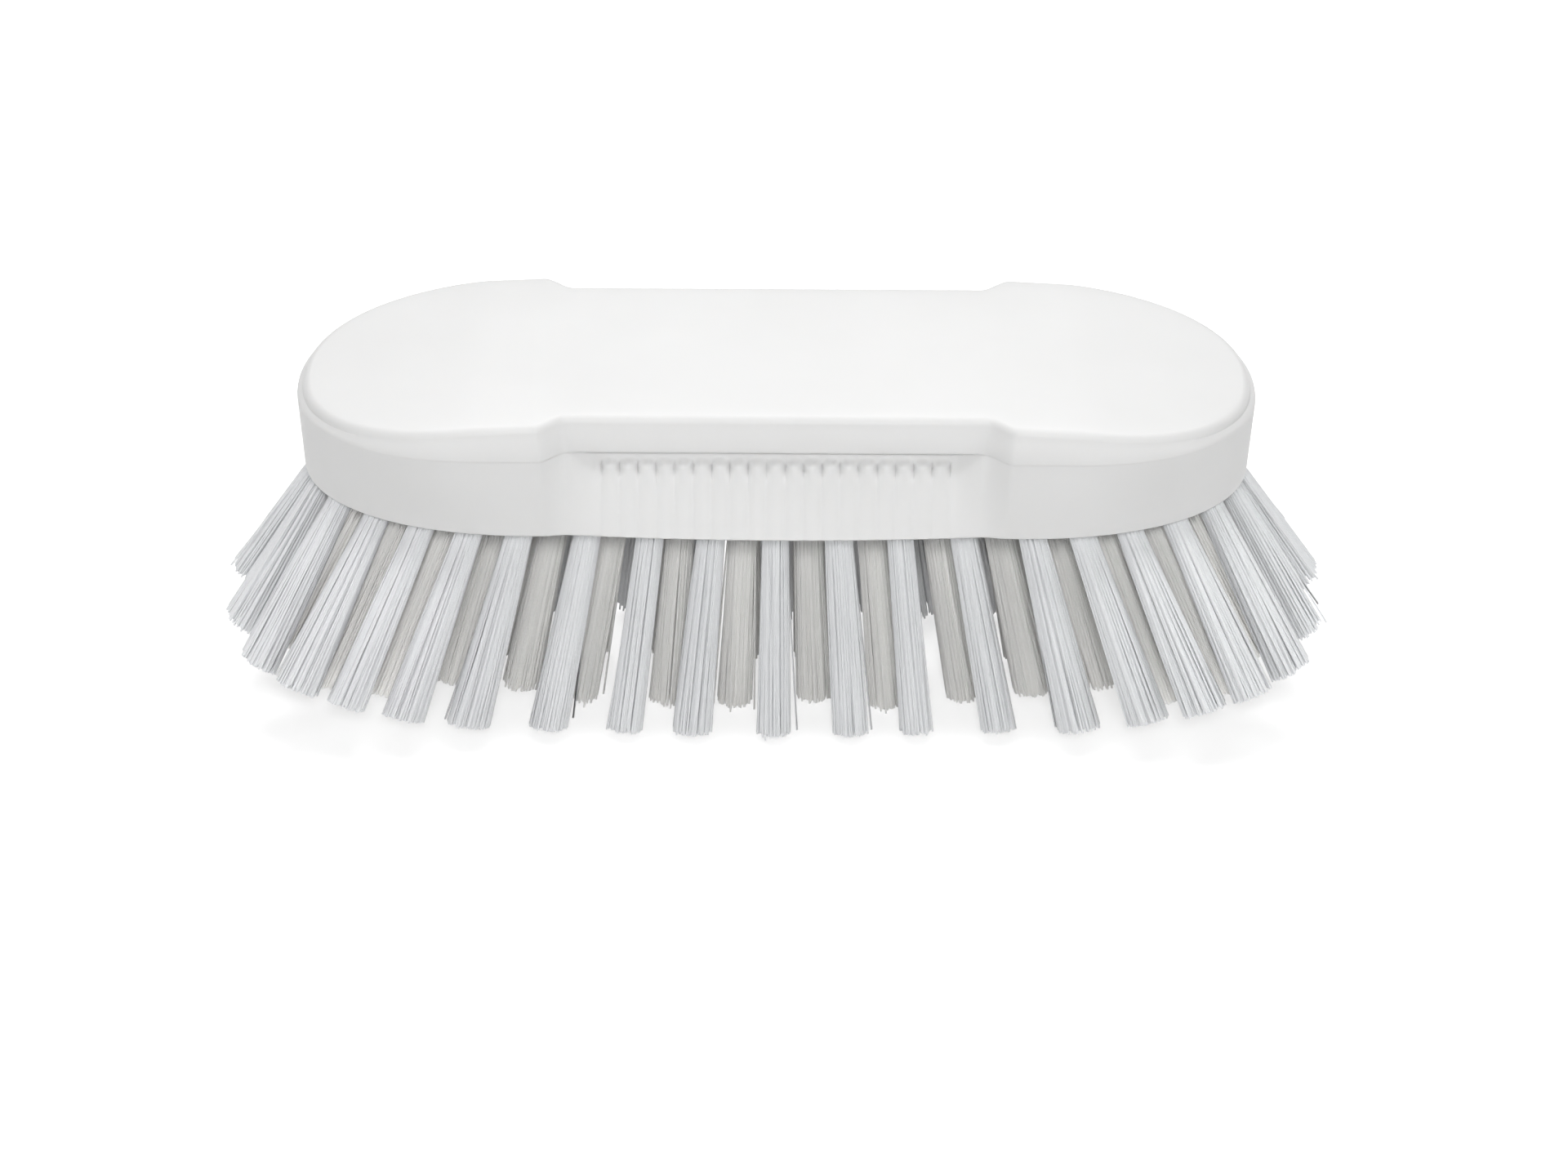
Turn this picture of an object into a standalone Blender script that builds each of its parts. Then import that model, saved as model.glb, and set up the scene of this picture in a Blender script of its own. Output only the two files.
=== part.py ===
"""Hand scrub brush: a one-piece moulded block with ribbed finger grips, and fanned tufts of bristle.

The block lies along X and the bristles point down. The origin is on the ground, below the middle
of the block. The brush stands on the tips of its innermost tufts. Lengths are in metres.
"""
import math

import bmesh
import bpy
from mathutils import Matrix, Vector

# Block outline, seen from above: two round lobes of a set length, and a narrower waist between them
BLOCK_LENGTH = 0.200
HALF_LENGTH = BLOCK_LENGTH / 2
LOBE_WIDTH = 0.068
WAIST_WIDTH = 0.0596
LOBE_LENGTH = 0.0513
LOBE_SIDE_LENGTH = 0.0128
LOBE_SQUARENESS = 2.2
SHOULDER_LENGTH = 0.0062
SHOULDER_FOLLOW = 0.4
SHOULDER_END = HALF_LENGTH - LOBE_LENGTH
LOBE_CENTRE_TOP = SHOULDER_END + LOBE_SIDE_LENGTH
WAIST_END = SHOULDER_END - SHOULDER_LENGTH

# Block outline at its underside, which is a little shorter, and wider at the waist
BASE_END_DRAFT = 0.0010
BASE_WIDTH = 0.0676
BASE_WAIST_WIDTH = 0.0700
BASE_WAIST_BOW = 0.0018
BASE_SHOULDER_SHIFT = -0.0010
BASE_SIDE_LENGTH = 0.0008
LOBE_CENTRE_BASE = SHOULDER_END + BASE_SIDE_LENGTH

# Block height, crown and edges: the top falls to both ends and rolls off a little to the sides
BLOCK_HEIGHT = 0.0254
CROWN_LENGTH = 0.0420
CROWN_START = HALF_LENGTH - CROWN_LENGTH
CROWN_BLEND = 0.009
CROWN_SLOPE = 0.14
SIDE_CROWN_START = 0.014
SIDE_CROWN_RUN = 0.016
SIDE_CROWN_DROP = 0.0002
RIM_INSET = 0.00115
TOP_RADIUS = 0.0017
BASE_CHAMFER = 0.0004

# Finger grip: an overhanging lip, a sloping floor under it and a row of ribs on the floor
LIP_LEVEL = 0.0178
LIP_UNDERSIDE_RISE = 0.0008
LIP_BELOW_EDGE = 0.0012
GRIP_DEPTH = 0.0026
GRIP_END_MARGIN = 0.0040
GRIP_FADE = 0.0040
GRIP_HALF_LENGTH = WAIST_END - GRIP_END_MARGIN
RIB_PITCH = 0.00377
RIB_END_MARGIN = 0.0040
RIBS_EACH_SIDE = int((GRIP_HALF_LENGTH - RIB_END_MARGIN) / RIB_PITCH)
RIB_HALF_WIDTH = 0.0017
RIB_ROOT_DEPTH = 0.0009
RIB_BASE_LEVEL = 0.0009
RIB_TOP_LEVEL = 0.0132
RIB_ROUND_LEVEL = 0.0143
RIB_TIP_LEVEL = 0.0149
RIB_RELIEF_BASE = 0.0003
RIB_RELIEF_TOP = 0.0010
RIB_RELIEF_ROUND = 0.0006
RIB_RELIEF_TIP = -0.0003

# Tuft holes and the roots that sit in them
HOLE_DEPTH = 0.0095
ROOT_RADIUS = 0.0025
ROOT_RECESS = 0.0010
FIT_CLEARANCE = 0.0003
ROUND_SIDES = 10

# Layout of the tufts on the underside, where the outer ones keep a margin to the block's edge
WAIST_PITCH = 0.01265
WAIST_OUTER_MARGIN = 0.0127
WAIST_INNER_Y = 0.0080
LOBE_RING_LENGTH = 0.0472
LOBE_RING_END_MARGIN = 0.0058
LOBE_RING_SIDE_MARGIN = 0.0095
LOBE_RING_SQUARENESS = 2.8
LOBE_RING_TUFTS = 12
LOBE_RING_START = 0.0060
RING_PATH_STEPS = 400
LOBE_RING_END = HALF_LENGTH - BASE_END_DRAFT - LOBE_RING_END_MARGIN
LOBE_RING_CENTRE = LOBE_RING_END - LOBE_RING_LENGTH
LOBE_RING_HALF_WIDTH = BASE_WIDTH / 2 - LOBE_RING_SIDE_MARGIN
WAIST_TO_RING = 0.0110
WAIST_OUTER_STEPS = int((LOBE_RING_CENTRE + LOBE_RING_START - WAIST_TO_RING) / WAIST_PITCH)

# Rows of inner tufts in a lobe: how far inside the ring's end each lies, and where its tufts lie across
LOBE_ROW_1_IN = 0.0493
LOBE_ROW_2_IN = 0.0381
LOBE_ROW_3_IN = 0.0282
LOBE_ROW_4_IN = 0.0175
LOBE_ROW_5_IN = 0.0104
LOBE_ROW_1_Y = 0.0057
LOBE_ROW_2_Y = 0.0054
LOBE_ROW_3_TO_RING = 0.0112
LOBE_ROW_4_TO_RING = 0.0109
LOBE_ROW_5_Y = 0.0049
LOBE_ROW_3_Y = LOBE_RING_HALF_WIDTH - LOBE_ROW_3_TO_RING
LOBE_ROW_4_Y = LOBE_RING_HALF_WIDTH - LOBE_ROW_4_TO_RING
LOBE_ROWS = (
    (LOBE_ROW_1_IN, (-LOBE_ROW_1_Y, LOBE_ROW_1_Y)),
    (LOBE_ROW_2_IN, (-LOBE_ROW_2_Y, LOBE_ROW_2_Y)),
    (LOBE_ROW_3_IN, (-LOBE_ROW_3_Y, 0.0, LOBE_ROW_3_Y)),
    (LOBE_ROW_4_IN, (-LOBE_ROW_4_Y, LOBE_ROW_4_Y)),
    (LOBE_ROW_5_IN, (-LOBE_ROW_5_Y, LOBE_ROW_5_Y)),
)
ROW_BAR_WIDTH = 0.0042
ROW_BAR_HEIGHT = 0.0022

# Fan of the tufts: the slope that a tuft would have at a set reach from the middle, nearer ones less
FAN_REACH = 0.100
FAN_X_WAIST = 0.487
FAN_X_LOBE = 0.120
FAN_X_LENGTH = 0.0510
FAN_X_START = HALF_LENGTH - FAN_X_LENGTH
FAN_X_BLEND = 0.0207
FAN_Y_WAIST = 0.288
FAN_Y_LOBE = 2.62
FAN_Y_LENGTH = 0.0580
FAN_Y_START = HALF_LENGTH - FAN_Y_LENGTH
FAN_Y_BLEND = 0.050
FAN_Y_POWER = 1.79

# Trim of the tufts: a dome that is lowest in the middle, cut flat where the brush stands
TRIM_LENGTH = 0.0550
STANDING_CUT = 0.0005
TRIM_RISE_X2 = 0.0028
TRIM_RISE_X4 = 0.0098
TRIM_RISE_Y2 = 0.0035
TRIM_X_UNIT = 0.100
TRIM_Y_FLAT = 0.010
TRIM_Y_UNIT = 0.020
TRIM_PASSES = 8

# Strands of a tuft
STRANDS_IN_RING = 5
STRAND_SIDES = 3
STRAND_RING_ROOT = 0.00145
STRAND_RING_TIP = 0.0030
STRAND_RADIUS_ROOT = 0.00068
STRAND_RADIUS_TIP = 0.00125
STRAND_SEAT = 0.0012
TUFT_TURN = math.radians(25.0)

# Facets of the block's outline
LOBE_STEPS = 16
SHOULDER_STEPS = 5
GRIP_FADE_SHARES = (0.625, 0.325, 0.0)
WAIST_STATIONS = (*(GRIP_HALF_LENGTH + GRIP_FADE * share for share in GRIP_FADE_SHARES), 0.0245, 0.0132, 0.0)
EDGE_STEPS = 4
SMOOTH_ANGLE = math.radians(35.0)

BLOCK_BASE = TRIM_LENGTH - STANDING_CUT


def clear_scene():
    for old in list(bpy.data.objects):
        bpy.data.objects.remove(old, do_unlink=True)


def make_collection(name):
    collection = bpy.data.collections.new(name)
    bpy.context.scene.collection.children.link(collection)
    return collection


def make_material(name, colour, roughness, transmission=0.0):
    material = bpy.data.materials.new(name)
    material.use_nodes = True
    shader = material.node_tree.nodes["Principled BSDF"]
    shader.inputs["Base Color"].default_value = (*colour, 1.0)
    shader.inputs["Roughness"].default_value = roughness
    shader.inputs["Metallic"].default_value = 0.0
    shader.inputs["Transmission Weight"].default_value = transmission
    material.diffuse_color = (*colour, 1.0)
    return material


def smooth_step(value, start, length):
    """0 before start, 1 after start + length, and an even S between them."""
    share = min(max((value - start) / length, 0.0), 1.0)
    return share * share * (3.0 - 2.0 * share)


def mesh_object(name, bm, collection, material=None):
    mesh = bpy.data.meshes.new(name)
    bm.to_mesh(mesh)
    bm.free()
    piece = bpy.data.objects.new(name, mesh)
    collection.objects.link(piece)
    if material:
        mesh.materials.append(material)
    return piece


def combine(piece, other, operation):
    """Join the other solid to the piece, or cut it out of the piece, and delete the other."""
    boolean = piece.modifiers.new(operation.lower(), "BOOLEAN")
    boolean.operation = operation
    boolean.object = other
    boolean.solver = "EXACT"
    result = piece.evaluated_get(bpy.context.evaluated_depsgraph_get())
    mesh = bpy.data.meshes.new_from_object(result)
    piece.modifiers.clear()
    old_mesh = piece.data
    name = old_mesh.name
    piece.data = mesh
    bpy.data.meshes.remove(old_mesh)
    mesh.name = name
    other_mesh = other.data
    bpy.data.objects.remove(other, do_unlink=True)
    bpy.data.meshes.remove(other_mesh)


# Block


def crown_height(x, y):
    """Height of the block's top over its underside: level in the middle, lower at the ends and sides."""
    past = abs(x) - CROWN_START
    fall = 0.0
    if past >= CROWN_BLEND:
        fall = CROWN_SLOPE * past
    elif past > -CROWN_BLEND:
        fall = CROWN_SLOPE * (past + CROWN_BLEND) ** 2 / (4.0 * CROWN_BLEND)
    roll = SIDE_CROWN_DROP * (max(0.0, abs(y) - SIDE_CROWN_START) / SIDE_CROWN_RUN) ** 2
    return BLOCK_HEIGHT - fall - roll


def lip_level(x, y):
    """Level of the lip and its witness line, which dips under the rounded edge at both ends."""
    return min(LIP_LEVEL, crown_height(x, y) - TOP_RADIUS - LIP_BELOW_EDGE)


def grip_share(x):
    """1 along the finger grip, fading to 0 at its ends."""
    return 1.0 - smooth_step(abs(x), GRIP_HALF_LENGTH, GRIP_FADE)


def base_waist_half_width(x):
    return BASE_WAIST_WIDTH / 2 - BASE_WAIST_BOW * (x / WAIST_END) ** 2


def grip_floor_top(x):
    return WAIST_WIDTH / 2 - GRIP_DEPTH * grip_share(x)


def grip_floor(x, level):
    """Half width of the grip's sloping floor at a level over the underside."""
    share = (level - BASE_CHAMFER) / (LIP_LEVEL - LIP_UNDERSIDE_RISE - BASE_CHAMFER)
    low = base_waist_half_width(x)
    return low + (grip_floor_top(x) - low) * share


def quarter_outline(half_length, lobe_half_width, lobe_centre, waist_half_width, shoulder_shift, inset):
    """Points from the tip at +X to the middle of the +Y side, all moved inwards by the inset.

    The sloping shoulder moves towards the lobe by a share of the inset, as it does in a true offset.
    """
    power = 2 / LOBE_SQUARENESS
    points = []
    for step in range(LOBE_STEPS + 1):
        angle = math.radians(90.0) * step / LOBE_STEPS
        x = lobe_centre + (half_length - inset - lobe_centre) * math.cos(angle) ** power
        points.append((x, (lobe_half_width - inset) * math.sin(angle) ** power))
    shift = shoulder_shift + SHOULDER_FOLLOW * inset
    for step in range(SHOULDER_STEPS + 1):
        share = step / SHOULDER_STEPS
        x = SHOULDER_END + (WAIST_END - SHOULDER_END) * share + shift
        step_in = (lobe_half_width - waist_half_width(x)) * smooth_step(share, 0.0, 1.0)
        points.append((x, lobe_half_width - step_in - inset))
    for x in WAIST_STATIONS:
        points.append((x, waist_half_width(x) - inset))
    return points


def whole_outline(quarter):
    """The quarter mirrored to all four corners, anticlockwise from the tip at +X."""
    last = len(quarter) - 1
    outline = list(quarter)
    outline += [(-x, y) for x, y in quarter[last - 1::-1]]
    outline += [(-x, -y) for x, y in quarter[1:last + 1]]
    outline += [(x, -y) for x, y in quarter[last - 1:0:-1]]
    return outline


def base_outline(inset):
    """The underside's outline, moved inwards by the inset."""
    return whole_outline(quarter_outline(
        HALF_LENGTH - BASE_END_DRAFT, BASE_WIDTH / 2, LOBE_CENTRE_BASE, base_waist_half_width,
        BASE_SHOULDER_SHIFT, inset))


def wall_outline(waist_half_width, inset):
    """The outline at the lip and above it, moved inwards by the inset."""
    return whole_outline(quarter_outline(
        HALF_LENGTH, LOBE_WIDTH / 2, LOBE_CENTRE_TOP, waist_half_width, 0.0, inset))


def lip_half_width(x):
    return WAIST_WIDTH / 2


def block_sections():
    """Rings of the block's skin, from the underside to the rim of its top."""
    under_lip = wall_outline(grip_floor_top, 0.0)
    lip = wall_outline(lip_half_width, 0.0)
    rings = [
        [Vector((x, y, 0.0)) for x, y in base_outline(BASE_CHAMFER)],
        [Vector((x, y, BASE_CHAMFER)) for x, y in base_outline(0.0)],
        [Vector((x, y, lip_level(x, y) - LIP_UNDERSIDE_RISE)) for x, y in under_lip],
        [Vector((x, y, lip_level(x, y))) for x, y in lip],
    ]
    for step in range(EDGE_STEPS + 1):
        turn = math.radians(90.0) * step / EDGE_STEPS
        drop = TOP_RADIUS * (1.0 - math.sin(turn))
        edge = wall_outline(lip_half_width, RIM_INSET + TOP_RADIUS * (1.0 - math.cos(turn)))
        rings.append([Vector((x, y, crown_height(x, y) - drop)) for x, y in edge])
    return rings


def top_line(bm, start, end):
    """Vertices across the top from one rim vertex to the one opposite, with a level land between."""
    rim = start.co.y
    land = min(SIDE_CROWN_START, rim / 2)
    middle = (rim + land) / 2
    line = [start]
    for y in (middle, land, -land, -middle):
        x = start.co.x
        line.append(bm.verts.new((x, y, BLOCK_BASE + crown_height(x, y))))
    return line + [end]


def skin_block(rings):
    """Close the rings into a solid, with a flat underside and a top of strips that run across it."""
    bm = bmesh.new()
    verts = [[bm.verts.new(point + Vector((0, 0, BLOCK_BASE))) for point in ring] for ring in rings]
    count = len(rings[0])
    for low, high in zip(verts, verts[1:]):
        for index in range(count):
            after = (index + 1) % count
            bm.faces.new((low[index], low[after], high[after], high[index]))
    bm.faces.new(verts[0][::-1])
    top = verts[-1]
    lines = [top_line(bm, top[index], top[-index]) for index in range(1, count // 2)]
    across = len(lines[0])
    lines = [[top[0]] * across] + lines + [[top[count // 2]] * across]
    for line, following in zip(lines, lines[1:]):
        for step in range(across - 1):
            corners = [line[step], following[step], following[step + 1], line[step + 1]]
            bm.faces.new(dict.fromkeys(corners))
    return bm


def add_rib(bm, x, side):
    """One upright rib: rounded, pointed under the lip, and nearly flush at the underside."""
    levels = (
        (RIB_BASE_LEVEL, RIB_RELIEF_BASE, 1.0),
        (RIB_TOP_LEVEL, RIB_RELIEF_TOP, 1.0),
        (RIB_ROUND_LEVEL, RIB_RELIEF_ROUND, 0.8),
        (RIB_TIP_LEVEL, RIB_RELIEF_TIP, 0.4),
    )
    rings = []
    for level, relief, share in levels:
        floor = grip_floor(x, level)
        half = RIB_HALF_WIDTH * share
        section = (
            (-half, floor - RIB_ROOT_DEPTH),
            (half, floor - RIB_ROOT_DEPTH),
            (half * 0.85, floor + relief * 0.45),
            (half * 0.45, floor + relief * 0.86),
            (0.0, floor + relief),
            (-half * 0.45, floor + relief * 0.86),
            (-half * 0.85, floor + relief * 0.45),
        )
        rings.append([bm.verts.new((x + across * side, out * side, BLOCK_BASE + level))
                      for across, out in section])
    for low, high in zip(rings, rings[1:]):
        for index in range(len(low)):
            after = (index + 1) % len(low)
            bm.faces.new((low[index], low[after], high[after], high[index]))
    bm.faces.new(rings[0][::-1])
    bm.faces.new(rings[-1])


def make_ribs(collection):
    bm = bmesh.new()
    for side in (-1, 1):
        for index in range(-RIBS_EACH_SIDE, RIBS_EACH_SIDE + 1):
            add_rib(bm, index * RIB_PITCH, side)
    bmesh.ops.recalc_face_normals(bm, faces=bm.faces)
    return mesh_object("grip_ribs", bm, collection)


def make_block(collection, cutters, material, holes, rows):
    block = mesh_object("brush_block", skin_block(block_sections()), collection, material)
    combine(block, make_ribs(cutters), "UNION")
    combine(block, hole_cutter(cutters, holes), "DIFFERENCE")
    combine(block, groove_cutter(cutters, rows), "DIFFERENCE")
    block.data.shade_smooth()
    block.data.set_sharp_from_angle(angle=SMOOTH_ANGLE)
    return block


# Tuft layout


def fan_slope(x, y):
    """Sideways run of a tuft for each unit that it goes down."""
    along = FAN_X_WAIST + FAN_X_LOBE * smooth_step(abs(x), FAN_X_START, FAN_X_BLEND)
    past = max(0.0, (abs(x) - FAN_Y_START) / FAN_Y_BLEND)
    across = FAN_Y_WAIST + FAN_Y_LOBE * past ** FAN_Y_POWER
    return Vector((along * x, across * y)) / FAN_REACH


def trim_drop(x, y):
    """Distance from the block's underside down to the trimmed tips."""
    past = max(0.0, abs(y) - TRIM_Y_FLAT) / TRIM_Y_UNIT
    share = x / TRIM_X_UNIT
    rise = TRIM_RISE_X2 * share ** 2 + TRIM_RISE_X4 * share ** 4 + TRIM_RISE_Y2 * past ** 2
    return TRIM_LENGTH - rise


def lobe_ring_roots():
    """Evenly spaced roots round the squarish half oval of the lobe at +X, from -Y to +Y."""
    power = 2 / LOBE_RING_SQUARENESS
    path = []
    for step in range(RING_PATH_STEPS + 1):
        angle = math.pi * step / RING_PATH_STEPS
        out = LOBE_RING_LENGTH * math.sin(angle) ** power
        across = math.copysign(LOBE_RING_HALF_WIDTH * abs(math.cos(angle)) ** power, -math.cos(angle))
        path.append(Vector((LOBE_RING_CENTRE + out, across)))
    lengths = [0.0]
    for before, after in zip(path, path[1:]):
        lengths.append(lengths[-1] + (after - before).length)
    pitch = (lengths[-1] - 2 * LOBE_RING_START) / (LOBE_RING_TUFTS - 1)
    roots = []
    for index in range(LOBE_RING_TUFTS):
        wanted = LOBE_RING_START + pitch * index
        place = next(i for i, length in enumerate(lengths) if length >= wanted)
        share = (wanted - lengths[place - 1]) / (lengths[place] - lengths[place - 1])
        roots.append(path[place - 1].lerp(path[place], share))
    return roots


def outer_roots():
    """The outer ring of tufts, clockwise seen from below, from the front left of the waist."""
    out = BASE_WAIST_WIDTH / 2 - WAIST_OUTER_MARGIN
    front = [Vector((step * WAIST_PITCH, -out))
             for step in range(-WAIST_OUTER_STEPS, WAIST_OUTER_STEPS + 1)]
    right = lobe_ring_roots()
    back = [Vector((-root.x, -root.y)) for root in front]
    left = [Vector((-root.x, -root.y)) for root in right]
    return front + right + back + left


def inner_rows():
    """Rows of inner roots, each a list of points that share one X."""
    rows = []
    for step in range(-WAIST_OUTER_STEPS, WAIST_OUTER_STEPS):
        x = step * WAIST_PITCH + WAIST_PITCH / 2
        rows.append([Vector((x, -WAIST_INNER_Y)), Vector((x, WAIST_INNER_Y))])
    for side in (-1, 1):
        for distance_in, places in LOBE_ROWS:
            rows.append([Vector((side * (LOBE_RING_END - distance_in), y)) for y in places])
    return sorted(rows, key=lambda row: row[0].x)


def tuft_axis(root):
    """Unit vector down the tuft."""
    slope = fan_slope(root.x, root.y)
    return Vector((slope.x, slope.y, -1.0)).normalized()


def at_underside(root):
    return Vector((root.x, root.y, BLOCK_BASE))


# Tuft solids


def add_round(bm, start, end, radius_start, radius_end, sides, turn=0.0):
    """A straight round or many-sided bar between two points."""
    along = end - start
    facing = along.to_track_quat("Z", "Y").to_matrix().to_4x4()
    place = Matrix.Translation((start + end) / 2) @ facing @ Matrix.Rotation(turn, 4, "Z")
    bmesh.ops.create_cone(bm, cap_ends=True, segments=sides, radius1=radius_start,
                          radius2=radius_end, depth=along.length, matrix=place)


def hole_cutter(collection, roots):
    bm = bmesh.new()
    for root in roots:
        axis = tuft_axis(root)
        mouth = at_underside(root)
        radius = ROOT_RADIUS + FIT_CLEARANCE
        add_round(bm, mouth - axis * HOLE_DEPTH, mouth + axis * HOLE_DEPTH, radius, radius, ROUND_SIDES)
    return mesh_object("tuft_holes", bm, collection)


def add_bar(bm, row, width, low, high):
    """A straight bar across the block, through one row's roots, between two levels at the underside."""
    size = Vector((width, 2 * max(root.y for root in row), high - low))
    middle = Vector((row[0].x, 0.0, BLOCK_BASE + (low + high) / 2))
    place = Matrix.Translation(middle) @ Matrix.Diagonal((*size, 1.0))
    bmesh.ops.create_cube(bm, size=1.0, matrix=place)


def groove_cutter(collection, rows):
    bm = bmesh.new()
    for row in rows:
        add_bar(bm, row, ROW_BAR_WIDTH + 2 * FIT_CLEARANCE, -ROW_BAR_HEIGHT, ROW_BAR_HEIGHT + FIT_CLEARANCE)
    return mesh_object("row_grooves", bm, collection)


def add_root(bm, root):
    """The packed root of one tuft, a clearance short of the bottom of its hole."""
    axis = tuft_axis(root)
    mouth = at_underside(root)
    inner = mouth - axis * (HOLE_DEPTH - FIT_CLEARANCE)
    outer = mouth - axis * ROOT_RECESS
    add_round(bm, inner, outer, ROOT_RADIUS, ROOT_RADIUS, ROUND_SIDES)


def strand_tip(root, offset):
    """Where a strand meets the trim, for a strand that is offset from the tuft's middle."""
    slope = fan_slope(root.x, root.y)
    drop = TRIM_LENGTH
    for _ in range(TRIM_PASSES):
        x = root.x + slope.x * drop + offset.x
        y = root.y + slope.y * drop + offset.y
        drop = trim_drop(x, y)
    return Vector((x, y, BLOCK_BASE - drop))


def add_strands(bm, root, turn):
    """One middle strand and a ring of strands that spread towards their tips."""
    axis = tuft_axis(root)
    seat = at_underside(root) - axis * (ROOT_RECESS + STRAND_SEAT)
    offsets = [Vector((0.0, 0.0))]
    for index in range(STRANDS_IN_RING):
        angle = turn + 2 * math.pi * index / STRANDS_IN_RING
        offsets.append(Vector((math.cos(angle), math.sin(angle))))
    for offset in offsets:
        spread = offset.to_3d()
        sideways = spread - axis * spread.dot(axis)
        start = seat + sideways * STRAND_RING_ROOT
        end = strand_tip(root, offset * STRAND_RING_TIP)
        add_round(bm, start, end, STRAND_RADIUS_ROOT, STRAND_RADIUS_TIP, STRAND_SIDES)


def cut_standing_tips(bm):
    """Cut flat on the ground what reaches below it, and close the cuts."""
    cut = bmesh.ops.bisect_plane(bm, geom=bm.verts[:] + bm.edges[:] + bm.faces[:],
                                 plane_co=(0, 0, 0), plane_no=(0, 0, 1), clear_inner=True)
    edges = [item for item in cut["geom_cut"] if isinstance(item, bmesh.types.BMEdge)]
    if edges:
        bmesh.ops.holes_fill(bm, edges=edges, sides=0)


def make_roots(name, row, collection, cutters, material):
    """The root of one tuft, or the roots of a row joined by the bar that carries them."""
    roots = bmesh.new()
    for root in row:
        add_root(roots, root)
    if len(row) == 1:
        return mesh_object(name, roots, collection, material)
    bar = bmesh.new()
    add_bar(bar, row, ROW_BAR_WIDTH, 0.0, ROW_BAR_HEIGHT)
    joined = mesh_object(name, bar, collection, material)
    combine(joined, mesh_object("row_roots", roots, cutters), "UNION")
    return joined


def make_tufts(name, row, collection, cutters, material, turn):
    """One tuft, or a row of tufts on a bar, as one solid."""
    tufts = make_roots(name, row, collection, cutters, material)
    strands = bmesh.new()
    for root in row:
        add_strands(strands, root, turn)
    cut_standing_tips(strands)
    bmesh.ops.recalc_face_normals(strands, faces=strands.faces)
    combine(tufts, mesh_object("tuft_strands", strands, cutters), "UNION")
    return tufts


def build():
    clear_scene()
    brush = make_collection("scrub_brush")
    cutters = make_collection("cutters")
    plastic = make_material("white_moulded_plastic", (0.86, 0.86, 0.85), 0.32)
    filament = make_material("white_filament", (0.80, 0.82, 0.84), 0.38, 0.25)
    ring = outer_roots()
    rows = inner_rows()
    make_block(brush, cutters, plastic, ring + [root for row in rows for root in row], rows)
    for index, root in enumerate(ring):
        half, place = divmod(index, len(ring) // 2)
        turn = TUFT_TURN * place + math.pi * half
        make_tufts(f"outer_tuft_{index + 1:02d}", [root], brush, cutters, filament, turn)
    for index, row in enumerate(rows):
        half = index * 2 // len(rows)
        turn = TUFT_TURN * min(index, len(rows) - 1 - index) + math.pi * half
        make_tufts(f"inner_tuft_row_{index + 1:02d}", row, brush, cutters, filament, turn)


build()
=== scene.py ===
"""Looks of the hand scrub brush: a white moulded block with ribbed grips, and tufts of fine filaments."""

import math

import bmesh
import bpy
import numpy as np
from mathutils import Matrix, Vector


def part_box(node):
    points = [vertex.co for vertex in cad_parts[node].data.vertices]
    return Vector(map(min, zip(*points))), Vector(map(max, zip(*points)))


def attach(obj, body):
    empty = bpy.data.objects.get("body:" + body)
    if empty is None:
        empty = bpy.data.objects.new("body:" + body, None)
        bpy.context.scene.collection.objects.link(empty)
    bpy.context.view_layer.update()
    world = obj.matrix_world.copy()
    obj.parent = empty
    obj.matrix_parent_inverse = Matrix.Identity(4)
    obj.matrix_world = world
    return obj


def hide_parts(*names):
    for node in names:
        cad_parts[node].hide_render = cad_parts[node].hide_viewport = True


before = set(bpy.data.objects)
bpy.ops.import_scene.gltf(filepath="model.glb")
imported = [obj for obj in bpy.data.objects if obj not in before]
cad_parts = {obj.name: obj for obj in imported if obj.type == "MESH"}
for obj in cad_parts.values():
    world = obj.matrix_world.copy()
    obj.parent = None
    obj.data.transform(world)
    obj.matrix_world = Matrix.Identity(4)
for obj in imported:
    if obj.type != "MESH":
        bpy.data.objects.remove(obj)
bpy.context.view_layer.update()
BLOCK_LOW, BLOCK_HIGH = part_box("brush_block")
BLOCK_BASE = BLOCK_LOW.z
BLOCK_HEIGHT = BLOCK_HIGH.z - BLOCK_LOW.z
HALF_LENGTH = BLOCK_HIGH.x

# Block outline, as in the frame: two round lobes of a set length, and a narrower waist between them
LOBE_WIDTH = 0.068
WAIST_WIDTH = 0.0596
LOBE_LENGTH = 0.0513
LOBE_SIDE_LENGTH = 0.0128
LOBE_SQUARENESS = 2.2
SHOULDER_LENGTH = 0.0062
SHOULDER_FOLLOW = 0.4
SHOULDER_END = HALF_LENGTH - LOBE_LENGTH
LOBE_CENTRE_TOP = SHOULDER_END + LOBE_SIDE_LENGTH
WAIST_END = SHOULDER_END - SHOULDER_LENGTH

# Block outline at its underside, which is a little shorter, and wider at the waist
BASE_END_DRAFT = 0.0010
BASE_WIDTH = 0.0676
BASE_WAIST_WIDTH = 0.0700
BASE_WAIST_BOW = 0.0018
BASE_SHOULDER_SHIFT = -0.0010
BASE_SIDE_LENGTH = 0.0008
LOBE_CENTRE_BASE = SHOULDER_END + BASE_SIDE_LENGTH

# Block crown and rounded edges: the top falls to both ends and rolls off a little to the sides
CROWN_LENGTH = 0.0420
CROWN_START = HALF_LENGTH - CROWN_LENGTH
CROWN_BLEND = 0.009
CROWN_SLOPE = 0.14
SIDE_CROWN_START = 0.014
SIDE_CROWN_RUN = 0.016
SIDE_CROWN_DROP = 0.0002
RIM_INSET = 0.00115
TOP_RADIUS = 0.0017
BASE_RADIUS = 0.0005

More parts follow.
